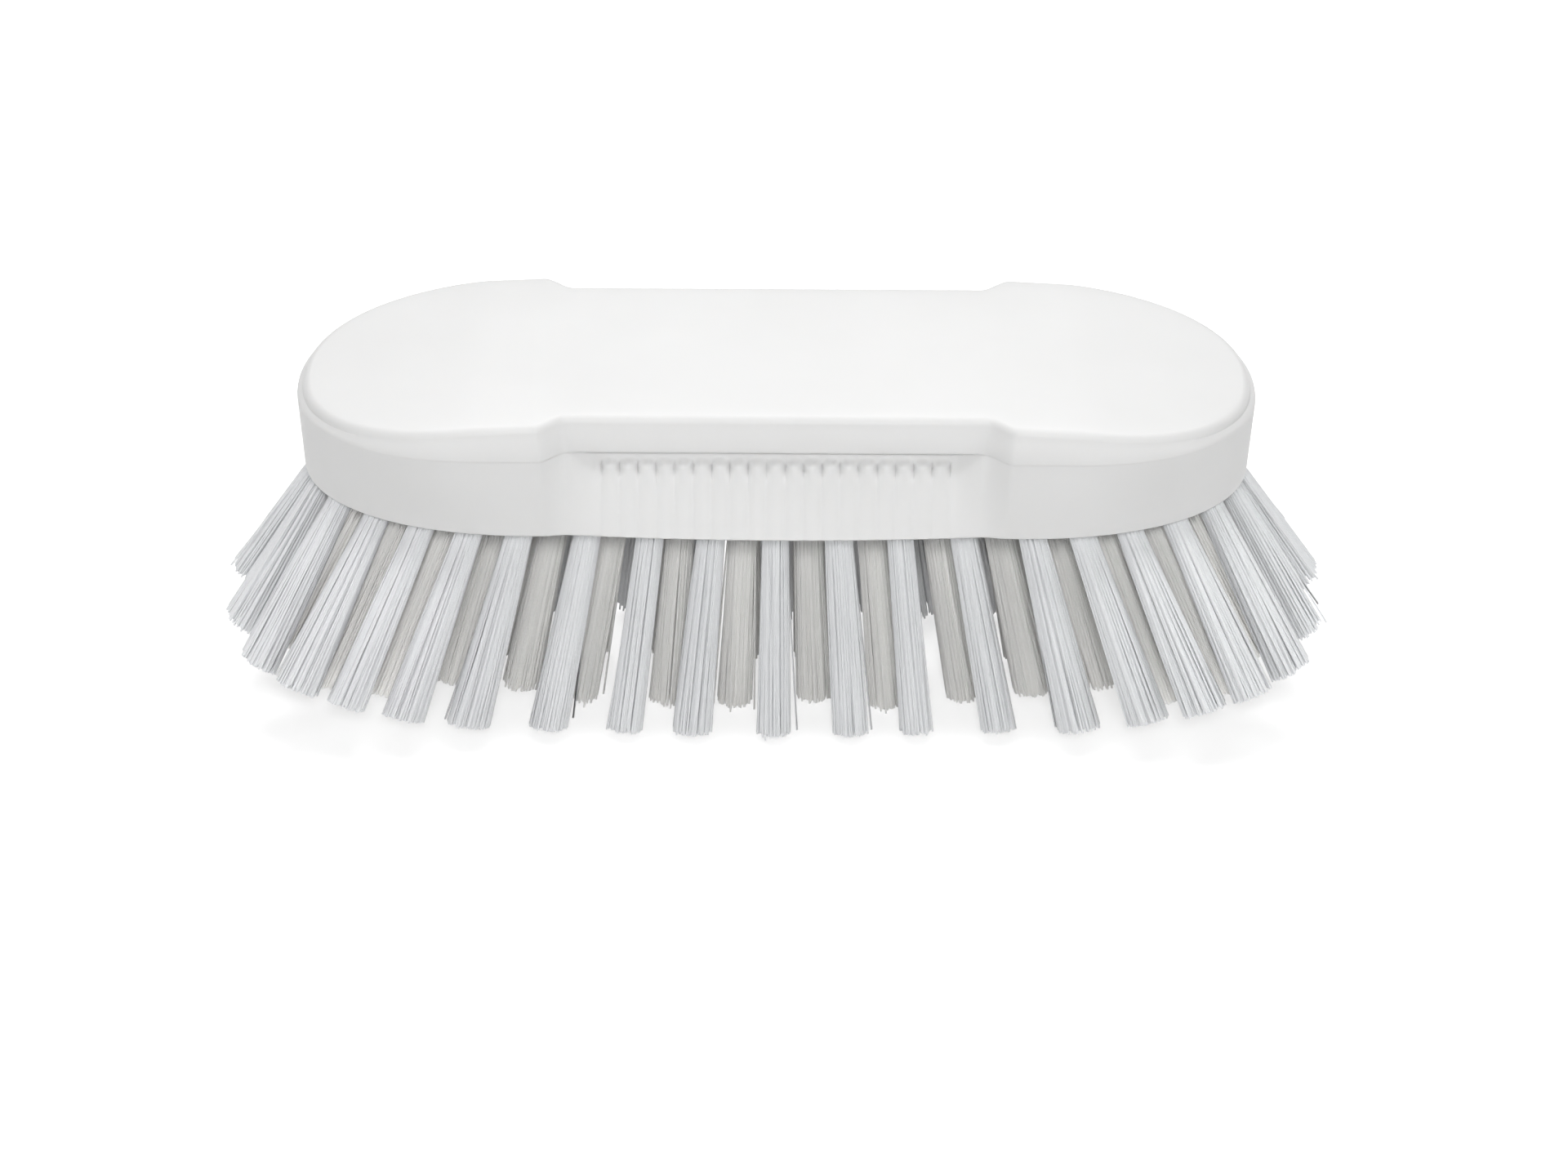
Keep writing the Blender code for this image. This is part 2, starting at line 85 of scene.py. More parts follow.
# Finger grip, and the mould's witness line, which carries the lip on round the lobes
LIP_LEVEL = 0.0178
LIP_UNDERSIDE_RISE = 0.0008
LIP_BELOW_EDGE = 0.0012
LIP_CORNER = 0.0005
GRIP_DEPTH = 0.0026
GRIP_END_MARGIN = 0.0055
GRIP_HALF_LENGTH = WAIST_END - GRIP_END_MARGIN
GRIP_FADE = 0.0060
WITNESS_DEPTH = 0.00012
WITNESS_RISE = 0.00010
WITNESS_END_MARGIN = 0.040
WITNESS_END = HALF_LENGTH - WITNESS_END_MARGIN
WITNESS_FADE = 0.030
RIB_COUNT = 19
RIB_PITCH = 0.00377
RIB_HALF_WIDTH = 0.00188
RIB_TIP_LEVEL = 0.0154
RIB_TIP_LENGTH = 0.0015
RIB_RELIEF_TOP = 0.00130
RIB_RELIEF_BASE = 0.00026
RIB_RELIEF_POWER = 4
RIB_ROUNDNESS = 0.85
RIB_VALLEY_DEPTH = 0.0006
RIB_VALLEY_START = 0.0105
RIB_VALLEY_RUN = 0.0030

# Tuft holes and layout, as in the frame
HOLE_DEPTH = 0.0095
HOLE_RADIUS = 0.0028
WAIST_PITCH = 0.01265
WAIST_OUTER_MARGIN = 0.0127
WAIST_INNER_Y = 0.0080
WAIST_OUTER_STEPS = 3
LOBE_RING_LENGTH = 0.0472
LOBE_RING_END_MARGIN = 0.0058
LOBE_RING_SIDE_MARGIN = 0.0095
LOBE_RING_SQUARENESS = 2.8
LOBE_RING_TUFTS = 12
LOBE_RING_START = 0.0060
RING_PATH_STEPS = 400
LOBE_RING_END = HALF_LENGTH - BASE_END_DRAFT - LOBE_RING_END_MARGIN
LOBE_RING_CENTRE = LOBE_RING_END - LOBE_RING_LENGTH
LOBE_RING_HALF_WIDTH = BASE_WIDTH / 2 - LOBE_RING_SIDE_MARGIN

# Rows of inner tufts in a lobe: how far inside the ring's end each lies, and where its tufts lie across
LOBE_ROWS = (
    (0.0493, (-0.0057, 0.0057)),
    (0.0381, (-0.0054, 0.0054)),
    (0.0282, (-0.0131, 0.0, 0.0131)),
    (0.0175, (-0.0134, 0.0134)),
    (0.0104, (-0.0049, 0.0049)),
)

# Fan of the tufts: the slope that a tuft would have at a set reach from the middle, nearer ones less
FAN_REACH = 0.100
FAN_X_WAIST = 0.487
FAN_X_LOBE = 0.120
FAN_X_LENGTH = 0.0510
FAN_X_START = HALF_LENGTH - FAN_X_LENGTH
FAN_X_BLEND = 0.0207
FAN_Y_WAIST = 0.288
FAN_Y_LOBE = 2.62
FAN_Y_LENGTH = 0.0580
FAN_Y_START = HALF_LENGTH - FAN_Y_LENGTH
FAN_Y_BLEND = 0.050
FAN_Y_POWER = 1.79

# Trim of the tufts: a dome that is lowest in the middle
TRIM_LENGTH = 0.0550
TRIM_RISE_X2 = 0.0028
TRIM_RISE_X4 = 0.0098
TRIM_RISE_Y2 = 0.0035
TRIM_X_UNIT = 0.100
TRIM_Y_FLAT = 0.010
TRIM_Y_UNIT = 0.020

# Filaments of a tuft, and how widely they spread towards their tips
FILAMENTS = 170
FILAMENT_RADIUS = 0.00022
FILAMENT_SIDES = 5
FILAMENT_STATIONS = 4
FILAMENT_SEAT = 0.0030
ROOT_RADIUS = 0.0025
TIP_RADIUS = 0.0037
INNER_TIP_RADIUS = 0.0033
LOBE_SPREAD = 1.30
FAR_SPREAD = 1.12
LEAST_SPREAD = 0.88
MOST_SPREAD = 1.14
GOLDEN_ANGLE = math.pi * (3.0 - math.sqrt(5.0))
TRIM_PASSES = 6
NORMAL_BLEND = 0.4
EDGE_PERCENTILE = 90

# Disorder of the filaments: the spread of each random shift, in shares of the tuft or in metres
SEED = 7
PLACE_JITTER = 0.022
REACH_JITTER = 0.00020
STRAY_SHARE = 0.05
STRAY_JITTER = 0.0013
LEAN_JITTER = 0.011
TRIM_JITTER = 0.00050
TRIM_SHORTFALL = 0.0003
BEND_JITTER = 0.00013

# Facets of the block
CORNER_LEG_SHARE = 0.45
LOBE_STEPS = 72
SHOULDER_STEPS = 24
WAIST_STEPS = 148
FLOOR_STEPS = 34
CORNER_STEPS = 4
WALL_STEPS = 5
EDGE_STEPS = 8
SIDE_STRIPS = 6
LAND_STRIPS = 12
HOLE_SIDES = 28
SHARP_ANGLE = math.radians(40.0)

# Tones, each from the darker to the lighter end of its variation
PLASTIC_TONES = (0.715, 0.715, 0.711), (0.740, 0.740, 0.737)
# The two filament tones are painted light on one filament material: the outer tufts are painted dimmer and
# bluish, the inner tufts near white and warm, to stand in for light passing through the clear filaments into
# the shaded inner tufts
OUTER_FILAMENT_DIMMED_TONES = (0.79, 0.80, 0.815), (0.825, 0.836, 0.848)
INNER_FILAMENT_SHADE_LIFTED_TONES = (0.975, 0.965, 0.94), (0.99, 0.985, 0.965)
FLOOR_TONES = (0.66, 0.66, 0.66), (0.68, 0.68, 0.68)
WHITE = (1.0, 1.0, 1.0, 1.0)

# Stage
FLOOR_HALF_SIZE = 6.0
FLOOR_GLOW = 0.60
WORLD_STRENGTH = 0.08
LAMP_TARGET = (0.0, 0.0, 0.05)

# Camera of the photograph: its image is 1920 x 1440
IMAGE_WIDTH = 1920
IMAGE_HEIGHT = 1440
SENSOR_WIDTH = 36.0
CAMERA_ELEVATION = math.radians(30.0)
CAMERA_YAW = math.radians(-0.05)
CAMERA_ROLL = math.radians(0.311)
CAMERA_DISTANCE = 1.168
PIXELS_PER_METRE = 5814.2
TARGET_PIXEL = (950.3, 558.9)


def smooth_step(value, start, length):
    """0 before start, 1 after start + length, and an even S between them."""
    share = min(max((value - start) / length, 0.0), 1.0)
    return share * share * (3.0 - 2.0 * share)


# Block shape


def crown_height(x, y):
    """Height of the block's top over its underside: it falls to the ends and rolls off to the sides."""
    past = abs(x) - CROWN_START
    fall = 0.0
    if past >= CROWN_BLEND:
        fall = CROWN_SLOPE * past
    elif past > -CROWN_BLEND:
        fall = CROWN_SLOPE * (past + CROWN_BLEND) ** 2 / (4.0 * CROWN_BLEND)
    roll = SIDE_CROWN_DROP * (max(0.0, abs(y) - SIDE_CROWN_START) / SIDE_CROWN_RUN) ** 2
    return BLOCK_HEIGHT - fall - roll


def lip_level(x, y):
    """Level of the lip and its witness line, which dips under the rounded edge at both ends."""
    return min(LIP_LEVEL, crown_height(x, y) - TOP_RADIUS - LIP_BELOW_EDGE)


def grip_share(x):
    """1 along the finger grip, fading to 0 at its ends."""
    return 1.0 - smooth_step(abs(x), GRIP_HALF_LENGTH, GRIP_FADE)


def base_waist_half_width(x):
    return BASE_WAIST_WIDTH / 2 - BASE_WAIST_BOW * (x / WAIST_END) ** 2


def step_depth(x):
    """How far the wall under the lip lies inside the lip: the grip's depth, or a hair at the witness line."""
    share = grip_share(x)
    witness = WITNESS_DEPTH * (1.0 - smooth_step(abs(x), WITNESS_END, WITNESS_FADE))
    return witness + (GRIP_DEPTH - witness) * share


def step_rise(x):
    return WITNESS_RISE + (LIP_UNDERSIDE_RISE - WITNESS_RISE) * grip_share(x)


def rib_relief(x, level):
    """Height of the rounded ribs over the grip's floor; each one ends in a rounded point under the lip."""
    nearest = round(x / RIB_PITCH)
    if abs(nearest) > (RIB_COUNT - 1) // 2:
        return 0.0
    across = (x - nearest * RIB_PITCH) / RIB_HALF_WIDTH
    past = max(0.0, level - (RIB_TIP_LEVEL - RIB_TIP_LENGTH)) / RIB_TIP_LENGTH
    section = max(0.0, 1.0 - across ** 2 - past ** 2)
    share = (level / RIB_TIP_LEVEL) ** RIB_RELIEF_POWER
    relief = RIB_RELIEF_BASE + (RIB_RELIEF_TOP - RIB_RELIEF_BASE) * share
    valley = smooth_step(level, RIB_VALLEY_START, RIB_VALLEY_RUN)
    valley *= 1.0 - smooth_step(level, RIB_TIP_LEVEL - RIB_TIP_LENGTH, RIB_TIP_LENGTH)
    return relief * section ** RIB_ROUNDNESS - RIB_VALLEY_DEPTH * valley * min(1.0, across ** 2)


def quarter_outline(half_length, lobe_half_width, lobe_centre, waist_half_width, shoulder_shift, inset):
    """Points from the tip at +X to the middle of the +Y side, all moved inwards by the inset."""
    power = 2 / LOBE_SQUARENESS
    points = []
    for step in range(LOBE_STEPS + 1):
        angle = math.radians(90.0) * step / LOBE_STEPS
        x = lobe_centre + (half_length - inset - lobe_centre) * math.cos(angle) ** power
        points.append((x, (lobe_half_width - inset) * math.sin(angle) ** power))
    shift = shoulder_shift + SHOULDER_FOLLOW * inset
    for step in range(SHOULDER_STEPS + 1):
        share = step / SHOULDER_STEPS
        x = SHOULDER_END + (WAIST_END - SHOULDER_END) * share + shift
        step_in = (lobe_half_width - waist_half_width(x)) * smooth_step(share, 0.0, 1.0)
        points.append((x, lobe_half_width - step_in - inset))
    waist_end = points[-1][0]
    for step in range(1, WAIST_STEPS + 1):
        x = waist_end * (1.0 - step / WAIST_STEPS)
        points.append((x, waist_half_width(x) - inset))
    return points


def whole_outline(quarter):
    """The quarter mirrored to all four corners, anticlockwise from the tip at +X."""
    last = len(quarter) - 1
    outline = list(quarter)
    outline += [(-x, y) for x, y in quarter[last - 1::-1]]
    outline += [(-x, -y) for x, y in quarter[1:last + 1]]
    outline += [(x, -y) for x, y in quarter[last - 1:0:-1]]
    return [Vector(point) for point in outline]


def base_outline(inset):
    return whole_outline(quarter_outline(
        HALF_LENGTH - BASE_END_DRAFT, BASE_WIDTH / 2, LOBE_CENTRE_BASE, base_waist_half_width,
        BASE_SHOULDER_SHIFT, inset))


def wall_outline(inset):
    return whole_outline(quarter_outline(
        HALF_LENGTH, LOBE_WIDTH / 2, LOBE_CENTRE_TOP, lambda x: WAIST_WIDTH / 2, 0.0, inset))


def outward(outline):
    """Unit vectors square to a closed outline, pointing out."""
    count = len(outline)
    normals = []
    for index in range(count):
        along = (outline[(index + 1) % count] - outline[index - 1]).normalized()
        normals.append(Vector((along.y, -along.x)))
    return normals


def rounded_corner(before, corner, after, size):
    """Points of a soft corner between two straight legs."""
    start = corner.lerp(before, min(CORNER_LEG_SHARE, size / (before - corner).length))
    end = corner.lerp(after, min(CORNER_LEG_SHARE, size / (after - corner).length))
    points = []
    for step in range(CORNER_STEPS + 1):
        share = step / CORNER_STEPS
        points.append(start.lerp(corner, share).lerp(corner.lerp(end, share), share))
    return points


def at_level(point, level):
    return Vector((point.x, point.y, level))


def edge_rounding():
    """Inset and drop of each ring of the rounded edge, from the wall to the rim of the top."""
    turns = [math.radians(90.0) * step / EDGE_STEPS for step in range(EDGE_STEPS + 1)]
    return [(RIM_INSET + TOP_RADIUS * (1.0 - math.cos(turn)), TOP_RADIUS * (1.0 - math.sin(turn)))
            for turn in turns]


def upper_wall_level(point, share):
    """Level at a share of the way from the lip up to the rounded edge."""
    low = lip_level(point.x, point.y)
    return low + (crown_height(point.x, point.y) - TOP_RADIUS - low) * share


def base_rounding():
    """Inset and level of each ring of the rounded lower edge."""
    turns = [math.radians(90.0) * step / CORNER_STEPS for step in range(CORNER_STEPS)]
    return [(BASE_RADIUS * (1.0 - math.sin(turn)), BASE_RADIUS * (1.0 - math.cos(turn))) for turn in turns]


def grip_column(foot, wall, normal, top):
    """Points up the side at one place: the floor with its ribs, the lip's underside and the lip."""
    lip = lip_level(wall.x, wall.y)
    inner = at_level(wall - normal * step_depth(wall.x), lip - step_rise(wall.x))
    edge = at_level(wall, lip)
    lower_corner = rounded_corner(foot, inner, edge, LIP_CORNER)
    points = []
    for step in range(FLOOR_STEPS):
        point = foot.lerp(lower_corner[0], step / FLOOR_STEPS)
        relief = rib_relief(point.x, point.z) * grip_share(point.x)
        points.append(point + normal.to_3d() * relief)
    return points + lower_corner + rounded_corner(inner, edge, top, LIP_CORNER)


def block_mesh():
    """The block's skin as rings of points round its outline, closed by the underside and the top.

    Over the lip the wall starts upright and bows inwards as it rises.
    """
    rings = []
    for inset, level in base_rounding():
        rings.append([at_level(point, level) for point in base_outline(inset)])
    rims = []
    for step in range(1, WALL_STEPS):
        share = step / WALL_STEPS
        rims.append([at_level(point, upper_wall_level(point, share))
                     for point in wall_outline(RIM_INSET * share ** 2)])
    for inset, drop in edge_rounding():
        rims.append([at_level(point, crown_height(point.x, point.y) - drop) for point in wall_outline(inset)])
    base, wall = base_outline(0.0), wall_outline(0.0)
    sides = [grip_column(at_level(base_point, BASE_RADIUS), wall_point, normal, top)
             for base_point, wall_point, normal, top in zip(base, wall, outward(wall), rims[0])]
    rings += [list(ring) for ring in zip(*sides)] + rims
    bm = bmesh.new()
    lift = Vector((0, 0, BLOCK_BASE))
    verts = [[bm.verts.new(point + lift) for point in ring] for ring in rings]
    count = len(wall)
    for low, high in zip(verts, verts[1:]):
        for index in range(count):
            after = (index + 1) % count
            bm.faces.new((low[index], low[after], high[after], high[index]))
    bm.faces.new(verts[0][::-1])
    close_top(bm, verts[-1])
    return bm


def top_stations(rim_y):
    """Places across the top between a rim point and the one opposite, with a level land between them."""
    land = min(SIDE_CROWN_START, rim_y / 2)
    side = [rim_y + (land - rim_y) * step / SIDE_STRIPS for step in range(1, SIDE_STRIPS)]
    middle = [land - 2 * land * step / LAND_STRIPS for step in range(LAND_STRIPS + 1)]
    return side + middle + [-y for y in reversed(side)]


def close_top(bm, rim):
    """The crowned top, in strips that run across the block."""
    count = len(rim)
    strips = 2 * SIDE_STRIPS + LAND_STRIPS
    lines = [[rim[0]] * (strips + 1)]
    for index in range(1, count // 2):
        x, rim_y = rim[index].co.x, rim[index].co.y
        line = [bm.verts.new((x, y, BLOCK_BASE + crown_height(x, y))) for y in top_stations(rim_y)]
        lines.append([rim[index]] + line + [rim[-index]])
    lines.append([rim[count // 2]] * (strips + 1))
    for line, following in zip(lines, lines[1:]):
        for step in range(strips):
            corners = (line[step], following[step], following[step + 1], line[step + 1])
            bm.faces.new(dict.fromkeys(corners))


def mesh_object(name, bm):
    mesh = bpy.data.meshes.new(name)
    bm.to_mesh(mesh)
    bm.free()
    piece = bpy.data.objects.new(name, mesh)
    bpy.context.scene.collection.objects.link(piece)
    return piece


def cut_holes(block, roots):
    """Blind holes in the underside that lean as their tufts do."""
    bm = bmesh.new()
    for root in roots:
        axis = tuft_axis(root)
        facing = axis.to_track_quat("Z", "Y").to_matrix().to_4x4()
        place = Matrix.Translation((root.x, root.y, BLOCK_BASE)) @ facing
        bmesh.ops.create_cone(bm, cap_ends=True, segments=HOLE_SIDES, radius1=HOLE_RADIUS,
                              radius2=HOLE_RADIUS, depth=2 * HOLE_DEPTH, matrix=place)
    cutter = mesh_object("tuft_holes", bm)
    boolean = block.modifiers.new("tuft_holes", "BOOLEAN")
    boolean.object = cutter
    boolean.operation = "DIFFERENCE"
    boolean.solver = "EXACT"
    result = block.evaluated_get(bpy.context.evaluated_depsgraph_get())
    mesh = bpy.data.meshes.new_from_object(result)
    block.modifiers.clear()
    block.data = mesh
    bpy.data.objects.remove(cutter, do_unlink=True)


def make_block(roots, material):
    """The whole block as one piece, with a blind hole at each tuft's root."""
    block = mesh_object("block_moulding", block_mesh())
    cut_holes(block, roots)
    block.data.materials.clear()
    block.data.materials.append(material)
    block.data.shade_smooth()
    block.data.set_sharp_from_angle(angle=SHARP_ANGLE)
    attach(block, "root")
    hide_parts("brush_block")
    return block


# Tuft layout


def fan_slope(x, y):
    """Sideways run of a tuft for each unit that it goes down."""
    along = FAN_X_WAIST + FAN_X_LOBE * smooth_step(abs(x), FAN_X_START, FAN_X_BLEND)
    past = max(0.0, (abs(x) - FAN_Y_START) / FAN_Y_BLEND)
    across = FAN_Y_WAIST + FAN_Y_LOBE * past ** FAN_Y_POWER
    return Vector((along * x, across * y)) / FAN_REACH


def tuft_axis(root):
    slope = fan_slope(root.x, root.y)
    return Vector((slope.x, slope.y, -1.0)).normalized()


def lobe_ring_roots():
    """Evenly spaced roots round the squarish half oval of the lobe at +X, from -Y to +Y."""
    power = 2 / LOBE_RING_SQUARENESS
    path = []
    for step in range(RING_PATH_STEPS + 1):
        angle = math.pi * step / RING_PATH_STEPS
        out = LOBE_RING_LENGTH * math.sin(angle) ** power
        across = math.copysign(LOBE_RING_HALF_WIDTH * abs(math.cos(angle)) ** power, -math.cos(angle))
        path.append(Vector((LOBE_RING_CENTRE + out, across)))
    lengths = [0.0]
    for before, after in zip(path, path[1:]):
        lengths.append(lengths[-1] + (after - before).length)
    pitch = (lengths[-1] - 2 * LOBE_RING_START) / (LOBE_RING_TUFTS - 1)
    roots = []
    for index in range(LOBE_RING_TUFTS):
        wanted = LOBE_RING_START + pitch * index
        place = next(i for i, length in enumerate(lengths) if length >= wanted)
        share = (wanted - lengths[place - 1]) / (lengths[place] - lengths[place - 1])
        roots.append(path[place - 1].lerp(path[place], share))
    return roots


def outer_roots():
    out = BASE_WAIST_WIDTH / 2 - WAIST_OUTER_MARGIN
    front = [Vector((step * WAIST_PITCH, -out))
             for step in range(-WAIST_OUTER_STEPS, WAIST_OUTER_STEPS + 1)]
    right = lobe_ring_roots()
    back = [Vector((-root.x, -root.y)) for root in front]
    left = [Vector((-root.x, -root.y)) for root in right]
    return front + right + back + left


def inner_rows():
    rows = []
    for step in range(-WAIST_OUTER_STEPS, WAIST_OUTER_STEPS):
        x = step * WAIST_PITCH + WAIST_PITCH / 2
        rows.append([Vector((x, -WAIST_INNER_Y)), Vector((x, WAIST_INNER_Y))])
    for side in (-1, 1):
        for inwards, places in LOBE_ROWS:
            rows.append([Vector((side * (LOBE_RING_END - inwards), y)) for y in places])
    return sorted(rows, key=lambda row: row[0].x)


# Filaments


def trim_drop(x, y):
    """Distance from the block's underside down to the trimmed tips, which never pass the ground."""
    past = np.maximum(0.0, np.abs(y) - TRIM_Y_FLAT) / TRIM_Y_UNIT
    share = x / TRIM_X_UNIT
    rise = TRIM_RISE_X2 * share ** 2 + TRIM_RISE_X4 * share ** 4 + TRIM_RISE_Y2 * past ** 2
    return np.minimum(TRIM_LENGTH - rise, BLOCK_BASE)


def filament_paths(root, tip_radius, draws):
    """Points along each filament of one tuft, as an array of filaments, stations and coordinates.

    The filaments fill a disc evenly, which widens from the root to the tips. Where each one ends
    on the domed trim depends on where it goes, so its length is found in a few passes.
    """
    numbers = np.arange(FILAMENTS)
    distance = np.sqrt((numbers + 0.5) / FILAMENTS)
    angle = numbers * GOLDEN_ANGLE + draws.uniform(0, 2 * math.pi)
    disc = np.stack([distance * np.cos(angle), distance * np.sin(angle)], axis=1)
    disc += draws.normal(0.0, PLACE_JITTER, disc.shape)
    spread = tip_radius * draws.uniform(LEAST_SPREAD, MOST_SPREAD)
    if abs(root.x) > WAIST_END:
        spread *= LOBE_SPREAD
    elif root.y > 0:
        spread *= FAR_SPREAD
    reach = disc * spread + draws.normal(0.0, REACH_JITTER, disc.shape)
    stray = draws.random(FILAMENTS) < STRAY_SHARE
    reach[stray] += draws.normal(0.0, STRAY_JITTER, (int(stray.sum()), 2))
    lean = np.array(fan_slope(root.x, root.y)) + draws.normal(0.0, LEAN_JITTER, 2)
    drop = np.full(FILAMENTS, BLOCK_BASE)
    for _ in range(TRIM_PASSES):
        tip_x = root.x + lean[0] * drop + reach[:, 0]
        tip_y = root.y + lean[1] * drop + reach[:, 1]
        drop = trim_drop(tip_x, tip_y)
    drop -= np.abs(draws.normal(0.0, TRIM_JITTER, FILAMENTS)) + draws.uniform(0.0, TRIM_SHORTFALL)
    tips = np.stack([tip_x, tip_y, BLOCK_BASE - drop], axis=1)
    axis = np.array(tuft_axis(root))
    across = np.stack([disc[:, 0], disc[:, 1], np.zeros(FILAMENTS)], axis=1)
    across -= np.outer(across @ axis, axis)
    seat = np.array((root.x, root.y, BLOCK_BASE)) - axis * FILAMENT_SEAT
    starts = seat + across * ROOT_RADIUS
    bend = draws.normal(0.0, BEND_JITTER, (FILAMENTS, 3))
    paths = []
    for station in range(FILAMENT_STATIONS):
        share = station / (FILAMENT_STATIONS - 1)
        paths.append(starts + (tips - starts) * share + bend * math.sin(math.pi * share))
    return np.stack(paths, axis=1)


def filament_tubes(paths):
    """Vertices and faces of closed tubes along the paths, and the shading normal at each face corner.

    The normals lean towards the tuft's own roundness, since light that enters a clear filament spreads
    to its neighbours and a bundle looks smoother than its filaments.
    """
    count, stations, _ = paths.shape
    along = np.gradient(paths, axis=1)
    along /= np.linalg.norm(along, axis=2, keepdims=True)
    side = np.cross(along, (0.0, 1.0, 0.0))
    side /= np.linalg.norm(side, axis=2, keepdims=True)
    front = np.cross(along, side)
    from_middle = paths - paths.mean(axis=0)
    from_middle -= along * np.sum(from_middle * along, axis=2, keepdims=True)
    from_middle /= np.percentile(np.linalg.norm(from_middle, axis=2), EDGE_PERCENTILE, axis=0)[:, None]
    rings, normals = [], []
    for index in range(FILAMENT_SIDES):
        angle = 2 * math.pi * index / FILAMENT_SIDES
        out = math.cos(angle) * side + math.sin(angle) * front
        rings.append(paths + FILAMENT_RADIUS * out)
        normals.append((1.0 - NORMAL_BLEND) * out + NORMAL_BLEND * from_middle)
    verts = np.stack(rings, axis=2).reshape(-1, 3)
    normals = np.stack(normals, axis=2).reshape(-1, 3)
    normals /= np.linalg.norm(normals, axis=1, keepdims=True)
    index = np.arange(count * stations * FILAMENT_SIDES).reshape(count, stations, FILAMENT_SIDES)
    low, high = index[:, :-1], index[:, 1:]
    quads = np.stack([low, np.roll(low, -1, 2), np.roll(high, -1, 2), high], axis=-1).reshape(-1, 4)
    faces = quads.tolist() + index[:, 0, ::-1].tolist() + index[:, -1].tolist()
    seats = np.repeat(-along[:, 0], FILAMENT_SIDES, axis=0)
    tips = np.repeat(along[:, -1], FILAMENT_SIDES, axis=0)
    return verts, faces, np.concatenate([normals[quads.reshape(-1)], seats, tips])


def make_tufts(name, node, row, tip_radius, draws, material):
    """The tufts of one node as one piece."""
    verts, faces, normals, offset = [], [], [], 0
    for root in row:
        more_verts, more_faces, more_normals = filament_tubes(filament_paths(root, tip_radius, draws))
        verts.append(more_verts)
        normals.append(more_normals)
        faces += [[corner + offset for corner in face] for face in more_faces]
        offset += len(more_verts)
    mesh = bpy.data.meshes.new(name)
    mesh.from_pydata(np.concatenate(verts).tolist(), [], faces)
    mesh.materials.append(material)
    mesh.shade_smooth()
    mesh.normals_split_custom_set(np.concatenate(normals).tolist())
    piece = bpy.data.objects.new(name, mesh)
    bpy.context.scene.collection.objects.link(piece)
    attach(piece, "root")
    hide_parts(node)
    return piece


# Materials


def new_material(name):
    material = bpy.data.materials.new(name)
    material.use_nodes = True
    return material, material.node_tree, material.node_tree.nodes["Principled BSDF"]


def noise(tree, scale, detail=2.0, stretch=(1.0, 1.0, 1.0)):
    """Noise in the object's own coordinates."""
    place = tree.nodes.new("ShaderNodeTexCoord")
    mapping = tree.nodes.new("ShaderNodeMapping")
    mapping.inputs["Scale"].default_value = stretch
    texture = tree.nodes.new("ShaderNodeTexNoise")
    texture.inputs["Scale"].default_value = scale
    texture.inputs["Detail"].default_value = detail
    tree.links.new(place.outputs["Object"], mapping.inputs["Vector"])
    tree.links.new(mapping.outputs["Vector"], texture.inputs["Vector"])
    return texture.outputs["Fac"]


def ramp(tree, value, low, high, start=0.3, end=0.7):
    """A colour that goes from low to high while the value goes from start to end."""
    node = tree.nodes.new("ShaderNodeValToRGB")
    node.color_ramp.elements[0].position = start
    node.color_ramp.elements[0].color = (*low, 1.0)
    node.color_ramp.elements[1].position = end
    node.color_ramp.elements[1].color = (*high, 1.0)
    tree.links.new(value, node.inputs["Fac"])
    return node.outputs["Color"]


def spread(tree, value, low, high, start=0.3, end=0.7):
    """A number that goes from low to high while the value goes from start to end."""
    node = tree.nodes.new("ShaderNodeMapRange")
    node.inputs["From Min"].default_value = start
    node.inputs["From Max"].default_value = end
    node.inputs["To Min"].default_value = low
    node.inputs["To Max"].default_value = high
    tree.links.new(value, node.inputs["Value"])
    return node.outputs["Result"]


def bump(tree, value, strength, distance, before=None):
    """A normal that follows the value as a height, on top of the normal before it."""
    node = tree.nodes.new("ShaderNodeBump")
    node.inputs["Strength"].default_value = strength
    node.inputs["Distance"].default_value = distance
    tree.links.new(value, node.inputs["Height"])
    if before is not None:
        tree.links.new(before, node.inputs["Normal"])
    return node.outputs["Normal"]


def moulded_plastic():
    """White satin plastic: a faint cloudiness, a soft sink here and there and a very fine mould grain."""
    material, tree, shader = new_material("white_moulded_plastic")
    cloud = noise(tree, scale=28.0, detail=3.0)
    tree.links.new(ramp(tree, cloud, *PLASTIC_TONES), shader.inputs["Base Color"])
    polish = noise(tree, scale=160.0, detail=2.0)
    tree.links.new(spread(tree, polish, low=0.40, high=0.45), shader.inputs["Roughness"])
    waves = bump(tree, noise(tree, scale=24.0, detail=1.0), strength=0.05, distance=0.0003)
    fine = noise(tree, scale=2600.0, detail=2.0)
    grain = bump(tree, fine, strength=0.10, distance=0.00002, before=waves)
    tree.links.new(grain, shader.inputs["Normal"])
    shader.inputs["IOR"].default_value = 1.49
    shader.inputs["Specular IOR Level"].default_value = 0.3
    shader.inputs["Subsurface Weight"].default_value = 0.10
    shader.inputs["Subsurface Radius"].default_value = (1.0, 0.9, 0.8)
    shader.inputs["Subsurface Scale"].default_value = 0.0015
    return material


def filament_plastic(name, tones):
    """Filament plastic: the tone differs from filament to filament, with fine streaks along each one."""
    material, tree, shader = new_material(name)
    streaks = noise(tree, scale=1.0, detail=2.0, stretch=(1900.0, 1900.0, 14.0))
    tree.links.new(ramp(tree, streaks, *tones), shader.inputs["Base Color"])
    polish = noise(tree, scale=1.0, detail=1.0, stretch=(900.0, 900.0, 60.0))
    tree.links.new(spread(tree, polish, low=0.30, high=0.48), shader.inputs["Roughness"])
    fine = noise(tree, scale=1.0, detail=2.0, stretch=(6000.0, 6000.0, 300.0))
    grain = bump(tree, fine, strength=0.15, distance=0.00002)
    tree.links.new(grain, shader.inputs["Normal"])
    shader.inputs["IOR"].default_value = 1.53
    return material


# Stage


